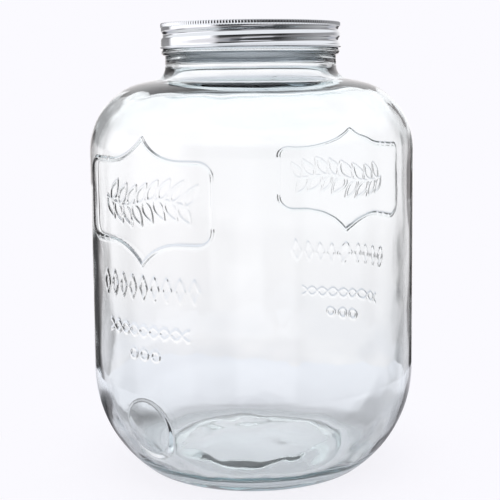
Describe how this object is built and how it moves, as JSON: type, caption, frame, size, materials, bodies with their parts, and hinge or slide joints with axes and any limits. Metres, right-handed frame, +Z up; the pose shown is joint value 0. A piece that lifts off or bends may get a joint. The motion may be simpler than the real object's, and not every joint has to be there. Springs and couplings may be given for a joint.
{
  "type": "glass storage jar with screw lid",
  "caption": "Large clear glass storage jar, straight-walled with round shoulder and heel, embossed bracket frame, flat tap pad and a pressed metal screw lid.",
  "frame": {"origin": "centre of the ring that the jar stands on, at the table", "axes": "+Z up along the jar's axis; the embossed frame above the tap pad faces -Y"},
  "size_m": [0.214, 0.2158, 0.2937],
  "materials": {
    "clear_glass": "clear moulded soda-lime glass, faint teal in thick places",
    "tinplate": "bright pressed tinplate, smooth"
  },
  "bodies": {
    "root": {"jar": "clear_glass", "lid": "tinplate"}
  },
  "joints": []
}
